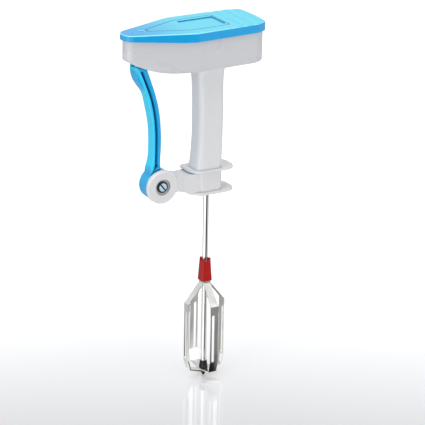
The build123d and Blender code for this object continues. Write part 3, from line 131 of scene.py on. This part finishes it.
# ---------------------------------------------------------------- node helpers
class NodeTree:
    """Short calls that add and link nodes."""

    def __init__(self, tree):
        self.tree = tree

    def add(self, kind, **settings):
        node = self.tree.nodes.new(kind)
        for key, value in settings.items():
            setattr(node, key, value)
        return node

    def link(self, output, target):
        self.tree.links.new(output, target)

    def maths(self, operation, *operands):
        node = self.add("ShaderNodeMath", operation=operation)
        for socket, value in zip(node.inputs, operands):
            if isinstance(value, (int, float)):
                socket.default_value = value
            else:
                self.link(value, socket)
        return node.outputs["Value"]

    def split(self, vector):
        """The x, y and z of a vector."""
        node = self.add("ShaderNodeSeparateXYZ")
        self.link(vector, node.inputs[0])
        return node.outputs

    def glow(self, colour, strength):
        """A light source whose colour is a colour or a socket."""
        node = self.add("ShaderNodeEmission")
        if isinstance(colour, tuple):
            node.inputs["Color"].default_value = (*colour, 1.0)
        else:
            self.link(colour, node.inputs["Color"])
        node.inputs["Strength"].default_value = strength
        return node.outputs["Emission"]

    def choose(self, factor, first, second):
        """The first shader, or the second where factor is one."""
        node = self.add("ShaderNodeMixShader")
        for socket, source in zip(node.inputs, (factor, first, second)):
            self.link(source, socket)
        return node.outputs["Shader"]

    def bands(self, vector, stops):
        """Grey levels by compass direction, fixed in the world.

        Each stop gives degrees to the right of the photograph's camera, from -180 up, and a brightness.
        """
        parts = self.split(vector)
        compass = self.maths("ARCTAN2", parts["Y"], parts["X"])
        from_camera = self.maths("SUBTRACT", compass, CAMERA_AZIMUTH - math.pi / 2)
        turned = self.maths("WRAP", from_camera, math.pi, -math.pi)
        ramp = self.add("ShaderNodeValToRGB")
        self.link(self.maths("MULTIPLY_ADD", turned, 0.5 / math.pi, 0.5), ramp.inputs["Fac"])
        elements = ramp.color_ramp.elements
        elements.remove(elements[1])
        for index, (degrees, brightness) in enumerate(stops):
            stop = elements.new(degrees / 360 + 0.5) if index else elements[0]
            stop.color = (brightness, brightness, brightness, 1.0)
        return ramp.outputs["Color"]


class Shader(NodeTree):
    """A node material and its Principled shader."""

    def __init__(self, name):
        self.material = bpy.data.materials.new(name)
        self.material.use_nodes = True
        super().__init__(self.material.node_tree)
        self.bsdf = self.tree.nodes["Principled BSDF"]

    def set(self, **values):
        for key, value in values.items():
            self.bsdf.inputs[key.replace("_", " ")].default_value = value

    def place(self, scale=(1, 1, 1)):
        """Object coordinates, stretched by scale."""
        coordinates = self.add("ShaderNodeTexCoord")
        mapping = self.add("ShaderNodeMapping")
        mapping.inputs["Scale"].default_value = scale
        self.link(coordinates.outputs["Object"], mapping.inputs["Vector"])
        return mapping.outputs["Vector"]

    def noise(self, scale, detail=3.0, stretch=(1, 1, 1)):
        node = self.add("ShaderNodeTexNoise")
        node.inputs["Scale"].default_value = scale
        node.inputs["Detail"].default_value = detail
        self.link(self.place(stretch), node.inputs["Vector"])
        return node.outputs["Fac"]

    def spread(self, value, low, high, start=0.0, end=1.0):
        """Maps value from start..end to low..high."""
        node = self.add("ShaderNodeMapRange")
        for key, number in (("From Min", start), ("From Max", end), ("To Min", low), ("To Max", high)):
            node.inputs[key].default_value = number
        self.link(value, node.inputs["Value"])
        return node.outputs["Result"]

    def blend(self, factor, first, second):
        """A colour that goes from first to second, each a colour or a socket, as factor rises."""
        node = self.add("ShaderNodeMix", data_type="RGBA")
        self.link(factor, node.inputs["Factor"])
        for socket, colour in ((node.inputs[6], first), (node.inputs[7], second)):
            if isinstance(colour, tuple):
                socket.default_value = (*colour, 1.0)
            else:
                self.link(colour, socket)
        return node.outputs[2]

    def lay(self, colour, painted_marks):
        """The colour, with the painted light or shade of each mark laid where the mark's function gives
        one.
        """
        for place_mark, mark_colour in painted_marks:
            colour = self.blend(place_mark(self), colour, mark_colour)
        return colour

    def mask(self, *tests):
        """One where every test holds, each test being a value, and the range that it must be in."""
        result = None
        for value, low, high in tests:
            above = self.maths("GREATER_THAN", value, low)
            inside = self.maths("MULTIPLY", above, self.maths("LESS_THAN", value, high))
            result = inside if result is None else self.maths("MULTIPLY", result, inside)
        return result

    def position(self):
        """The x, y and z of the shaded point, in the object's own frame."""
        return self.split(self.add("ShaderNodeTexCoord").outputs["Object"])

    def normal(self):
        """The x, y and z of the surface's normal, in the world's frame."""
        return self.split(self.add("ShaderNodeNewGeometry").outputs["Normal"])

    def openness(self, reach):
        """One on open surfaces, falling towards nought in grooves and joints narrower than reach."""
        node = self.add("ShaderNodeAmbientOcclusion", samples=CREASE_SAMPLES)
        node.inputs["Distance"].default_value = reach
        return node.outputs["AO"]

    def bump(self, height, strength):
        """Relief that is strength times RELIEF deep."""
        node = self.add("ShaderNodeBump")
        node.inputs["Strength"].default_value = strength
        node.inputs["Distance"].default_value = RELIEF
        self.link(height, node.inputs["Height"])
        self.link(node.outputs["Normal"], self.bsdf.inputs["Normal"])


def plastic(name, colour, deep, roughness, coat=0.25, subsurface=0.0, painted_marks=(), crease_shade=None, glow=0.0):
    """Moulded plastic: faint flow marks in its colour, uneven gloss and the ripple of a polished mould.

    Each mark is a function of the shader that gives a mask, and the painted light or shade to lay where
    the mask is one. The crease colour is painted shade deep in grooves and joints, and glow is the
    strength of a painted glow that the plastic gives off in its own colour, though it is no lamp.
    """
    shader = Shader(name)
    flow = shader.noise(FLOW_GRAIN, 2.0, FLOW_STRETCH)
    tint = shader.blend(shader.spread(flow, 0.0, 1.0, *FLOW_RANGE), colour, deep)
    tint = shader.lay(tint, painted_marks)
    # painted shade: the crease colour is laid where ambient occlusion finds grooves and joints
    if crease_shade:
        closed = shader.spread(shader.openness(CREASE_SHADE_REACH), 1.0, 0.0, *CREASE_SHADE_OPENNESS)
        tint = shader.blend(closed, tint, crease_shade)
    shader.link(tint, shader.bsdf.inputs["Base Color"])
    # painted light: the plastic gives off light in its own colour, though it is no lamp
    if glow:
        shader.link(tint, shader.bsdf.inputs["Emission Color"])
        shader.set(Emission_Strength=glow)
    gloss_ends = (roughness * share for share in GLOSS_SPREAD)
    gloss = shader.spread(shader.noise(GLOSS_GRAIN, 2.0), *gloss_ends, *GLOSS_RANGE)
    shader.link(gloss, shader.bsdf.inputs["Roughness"])
    shader.bump(shader.noise(RIPPLE_GRAIN, 2.0), RIPPLE_STRENGTH)
    shader.set(Coat_Weight=coat, Coat_Roughness=COAT_ROUGHNESS, IOR=PLASTIC_IOR)
    shader.set(Subsurface_Weight=subsurface, Subsurface_Scale=GLOW_DEPTH)
    return shader


def steel(name, colour, roughness, stretch, painted_marks=(), waves=0.0):
    """Polished or drawn steel: fine scratches along the piece, uneven polish, and painted light or shade
    marks as plastic has.

    waves is the height of the sheet's slow waves, in scratch depths.
    """
    shader = Shader(name)
    scratches = shader.noise(SCRATCH_GRAIN, 6.0, stretch)
    smears = shader.noise(SMEAR_GRAIN, 3.0)
    dim = tuple(channel * SMEAR_DIM for channel in colour)
    tint = shader.blend(shader.spread(smears, 0.0, 1.0, *SMEAR_RANGE), colour, dim)
    shader.link(shader.lay(tint, painted_marks), shader.bsdf.inputs["Base Color"])
    polish_ends = (roughness * share for share in SCRATCH_SPREAD)
    shader.link(shader.spread(scratches, *polish_ends, *SCRATCH_RANGE), shader.bsdf.inputs["Roughness"])
    height = shader.maths("MULTIPLY_ADD", shader.noise(SHEET_GRAIN, 1.0), waves, scratches)
    shader.bump(height, SCRATCH_STRENGTH)
    shader.set(Metallic=1.0)
    return shader


def skirt_shade_mask(shader):
    """Painted shade on the lid's upright faces and its nose, which are darker than its top."""
    upright = shader.spread(shader.maths("ABSOLUTE", shader.normal()["Z"]), 1.0, 0.0, *LID_UPRIGHT_SHADE)
    nose = shader.spread(shader.position()["X"], 1.0, 0.0, *LID_NOSE_SHADE_X)
    return shader.maths("MAXIMUM", upright, nose)


def rim_highlight_mask(shader):
    """A painted highlight on the lid's rounded edges and the slopes of its ridges."""
    return shader.mask((shader.normal()["Z"], *LID_RIM_HIGHLIGHT))


def lever_shade_mask(shader):
    """Painted shade on the lever's palm edge and on all that lies on the column's side of its light strip,
    which is thus a painted highlight.
    """
    place = shader.position()
    lift = shader.maths("MAXIMUM", shader.maths("SUBTRACT", place["Z"], LEVER_BEND_Z), 0.0)
    bend = shader.maths("MULTIPLY", shader.maths("POWER", lift, LEVER_BEND_POWER), LEVER_BEND)
    across = shader.maths("ADD", shader.maths("SUBTRACT", place["X"], LEVER_GROOVE_X), bend)
    palm_shade = shader.spread(across, 1.0, 0.0, *PALM_EDGE_SHADE)
    column_shade = shader.spread(across, 0.0, 1.0, *COLUMN_SIDE_SHADE)
    return shader.maths("MAXIMUM", palm_shade, column_shade)


def groove_shade_mask(shader):
    """Painted shade on the sunken faces along both sides of the lever."""
    place = shader.position()
    return shader.mask(
        (place["Y"], -GROOVE_HALF_Y, GROOVE_HALF_Y),
        (place["Z"], *GROOVE_Z),
        (shader.maths("ABSOLUTE", shader.normal()["Y"]), *GROOVE_FACING),
    )


def screw_shade_mask(shader):
    """Painted shade on the rounded rim of the pivot screw's head and on the floor of its slot."""
    place = shader.position()
    across = shader.maths("SUBTRACT", place["X"], PIVOT[0])
    along = shader.maths("SUBTRACT", place["Z"], PIVOT[1])
    squares = shader.maths("MULTIPLY_ADD", across, across, shader.maths("MULTIPLY", along, along))
    rim = shader.mask((squares, PIVOT_HEAD_FACE**2, EVERYWHERE), (place["Y"], -EVERYWHERE, 0.0))
    return shader.maths("MAXIMUM", rim, shader.mask((place["Y"], PIVOT_SLOT_Y, 0.0)))


# ---------------------------------------------------------------- materials
# the housing's white and a lighter copy of it for the column and bracket: the difference between them is
# painted light and shade
white_plastic = plastic(
    "white_plastic",
    (0.74, 0.745, 0.76),
    (0.733, 0.738, 0.753),
    0.28,
    coat=0.5,
    subsurface=0.05,
)
# the same white plastic as the housing, painted lighter as if more light fell on the column and bracket;
# its crease colour is painted shade
lit_grip_plastic = plastic(
    "lit_grip_plastic",
    (0.90, 0.895, 0.90),
    (0.893, 0.888, 0.893),
    0.26,
    coat=0.6,
    subsurface=0.05,
    crease_shade=(0.42, 0.42, 0.45),
)
# painted shade on the lid's upright faces and nose, a painted highlight on its rims and ridges, and
# painted shade in its grooves and joints
blue_plastic = plastic(
    "blue_plastic",
    (0.08, 0.79, 1.0),
    (0.07, 0.75, 0.98),
    0.22,
    coat=0.3,
    painted_marks=((skirt_shade_mask, (0.0, 0.43, 0.90)), (rim_highlight_mask, (0.30, 0.90, 1.0))),
    crease_shade=(0.0, 0.06, 0.24),
)
# painted shade on the lever's edges and grooved faces around a painted light strip, painted shade in its
# joints, and a painted glow of its own
lever_plastic = plastic(
    "lever_plastic",
    (0.02, 0.70, 1.0),
    (0.02, 0.67, 0.98),
    0.26,
    painted_marks=((lever_shade_mask, (0.0, 0.42, 0.80)), (groove_shade_mask, (0.0, 0.004, 0.06))),
    crease_shade=(0.0, 0.06, 0.26),
    glow=0.12,
)
# its crease colour is painted shade in grooves and joints
red_plastic = plastic(
    "red_plastic",
    (0.52, 0.006, 0.003),
    (0.46, 0.005, 0.003),
    0.24,
    coat=0.0,
    crease_shade=(0.12, 0.0, 0.0),
)
red_plastic.set(IOR=1.38)
gear_nylon = plastic("gear_nylon", (0.78, 0.76, 0.68), (0.74, 0.72, 0.64), 0.45, coat=0.0)
bush_nylon = plastic("bush_nylon", (0.05, 0.05, 0.055), (0.04, 0.04, 0.045), 0.5, coat=0.0)
shaft_steel = steel("shaft_steel", (0.88, 0.88, 0.87), 0.06, (1, 1, 0.04))
blade_steel = steel("blade_steel", (0.86, 0.86, 0.84), 0.13, (1, 1, 0.06), waves=90.0)
dark_steel = steel("dark_steel", (0.035, 0.035, 0.037), 0.30, (1, 1, 1))
# the blue tint is a painted reflection of the blue around the screw's head; its rim and slot have painted
# shade
screw_painted_reflection = steel(
    "screw_painted_reflection",
    (0.66, 0.84, 1.0),
    0.40,
    (1, 1, 1),
    painted_marks=((screw_shade_mask, (0.012, 0.012, 0.016)),),
)
# part metal, so the blue painted into the colour shows as its reflection
screw_painted_reflection.set(Metallic=0.3)
zinc_screw = steel("zinc_screw", (0.66, 0.67, 0.66), 0.30, (1, 1, 1))
pin_steel = steel("pin_steel", (0.70, 0.70, 0.69), 0.22, (1, 1, 0.2))

finishes = {
    white_plastic: ["gear_housing"],
    lit_grip_plastic: ["grip_column", "base_bracket"],
    blue_plastic: ["top_cover"],
    lever_plastic: ["squeeze_lever"],
    red_plastic: ["beater_hub"],
    shaft_steel: ["drive_shaft"],
    blade_steel: ["beater_loop_x", "beater_loop_y"],
    dark_steel: ["blade_collar", "tip_nut"],
    screw_painted_reflection: ["pivot_screw"],
    zinc_screw: ["pivot_nut", "cover_screws", "column_screws", "base_screws"],
    pin_steel: [
        "idler_axle",
        "pivot_sleeve",
        "pivot_washers",
        "rack_pin",
        "retaining_clip",
        "thrust_washers",
        "return_spring",
    ],
    gear_nylon: ["drive_rack", "idler_gear", "shaft_pinion"],
    bush_nylon: ["lower_bush", "floor_bush", "cover_bush"],
}


def smooth(obj):
    """Smooth shading, with edges sharper than SMOOTH_ANGLE kept crisp."""
    bpy.context.view_layer.objects.active = obj
    chosen = {"active_object": obj, "selected_objects": [obj], "selected_editable_objects": [obj]}
    with bpy.context.temp_override(**chosen):
        bpy.ops.object.shade_smooth_by_angle(angle=SMOOTH_ANGLE)


for shader, names in finishes.items():
    for name in names:
        nodes[name].data.materials.clear()
        nodes[name].data.materials.append(shader.material)
        smooth(nodes[name])


# ---------------------------------------------------------------- floor, light and camera
def stage_plane(name, size, height):
    half = size / 2
    mesh = bpy.data.meshes.new(name)
    signs = ((-1, -1), (1, -1), (1, 1), (-1, 1))
    mesh.from_pydata([(half * x, half * y, height) for x, y in signs], [], [(0, 1, 2, 3)])
    plane = bpy.data.objects.new(name, mesh)
    bpy.context.scene.collection.objects.link(plane)
    return plane


floor = stage_plane("studio_floor", FLOOR_SIZE, BEATER_FOOT.z - FLOOR_GAP)
# by the Light Path node, the camera sees a white floor with a blurred mirror image in it, and glossy
# surfaces see STUDIO_BANDS in the floor's place; the bands and the floor's glow are fixed in the world
# and were placed for the photograph's camera
floor_finish = Shader("floor_white")
floor_polish = floor_finish.spread(floor_finish.noise(FLOOR_GRAIN), *FLOOR_ROUGHNESS, *GLOSS_RANGE)
floor_finish.link(floor_polish, floor_finish.bsdf.inputs["Roughness"])
floor_finish.set(Base_Color=(*FLOOR_COLOUR, 1.0), IOR=FLOOR_IOR, Emission_Color=(1, 1, 1, 1))
floor_path = floor_finish.add("ShaderNodeLightPath").outputs
floor_place = floor_finish.position()
nearer = floor_finish.maths("MULTIPLY", floor_place["X"], math.sin(CAMERA_AZIMUTH))
nearer = floor_finish.maths("MULTIPLY_ADD", floor_place["Y"], -math.cos(CAMERA_AZIMUTH), nearer)
glow = floor_finish.spread(nearer, *FLOOR_GLOW, *FLOOR_FADE)
glow = floor_finish.maths("MULTIPLY", floor_path["Is Camera Ray"], glow)
floor_finish.link(glow, floor_finish.bsdf.inputs["Emission Strength"])
floor_bands = floor_finish.bands(floor_finish.add("ShaderNodeTexCoord").outputs["Object"], STUDIO_BANDS)
floor_finish.link(
    floor_finish.choose(
        floor_path["Is Glossy Ray"], floor_finish.bsdf.outputs["BSDF"], floor_finish.glow(floor_bands, 1.0)
    ),
    floor_finish.tree.nodes["Material Output"].inputs["Surface"],
)
floor.data.materials.append(floor_finish.material)


def area_light(name, position, aim, size, power):
    """A soft box at position that faces aim."""
    data = bpy.data.lights.new(name, "AREA")
    data.shape = "RECTANGLE"
    data.size, data.size_y = size
    data.energy = power
    lamp = bpy.data.objects.new(name, data)
    lamp.location = position
    lamp.rotation_euler = (Vector(aim) - Vector(position)).to_track_quat("-Z", "Y").to_euler()
    bpy.context.scene.collection.objects.link(lamp)


for soft_box in SOFT_BOXES:
    area_light(*soft_box)

scene = bpy.context.scene
scene.view_settings.view_transform = "Standard"
world = bpy.data.worlds.new("studio")
scene.world = world
world.use_nodes = True
sky = NodeTree(world.node_tree)
sky_path = sky.add("ShaderNodeLightPath").outputs
sky_bands = sky.bands(sky.add("ShaderNodeTexCoord").outputs["Generated"], SKY_BANDS)
sky_light = sky.choose(
    sky_path["Is Glossy Ray"], sky.glow(SKY_COLOUR, SKY_STRENGTH), sky.glow(sky_bands, 1.0)
)
sky.link(
    sky.choose(sky_path["Is Camera Ray"], sky_light, sky.glow((1.0, 1.0, 1.0), 1.0)),
    sky.tree.nodes["World Output"].inputs["Surface"],
)


def make_camera():
    """The camera at the photograph's angle, aimed a little right of the shaft and rolled by one degree."""
    sideways = Vector((math.cos(CAMERA_AZIMUTH), math.sin(CAMERA_AZIMUTH), 0))
    back = Vector(
        (
            math.sin(CAMERA_AZIMUTH) * math.cos(CAMERA_ELEVATION),
            -math.cos(CAMERA_AZIMUTH) * math.cos(CAMERA_ELEVATION),
            math.sin(CAMERA_ELEVATION),
        )
    )
    upward = back.cross(sideways)
    right = sideways * math.cos(CAMERA_ROLL) + upward * math.sin(CAMERA_ROLL)
    up = upward * math.cos(CAMERA_ROLL) - sideways * math.sin(CAMERA_ROLL)
    place = sideways * TARGET_RIGHT + Vector((0, 0, TARGET_HEIGHT)) + back * CAMERA_DISTANCE
    data = bpy.data.cameras.new("photo_camera")
    data.lens = CAMERA_LENS
    data.sensor_width = CAMERA_SENSOR
    data.clip_start, data.clip_end = CAMERA_CLIP
    camera = bpy.data.objects.new("photo_camera", data)
    camera.matrix_world = Matrix.Translation(place) @ Matrix((right, up, back)).transposed().to_4x4()
    bpy.context.scene.collection.objects.link(camera)
    bpy.context.scene.camera = camera


make_camera()
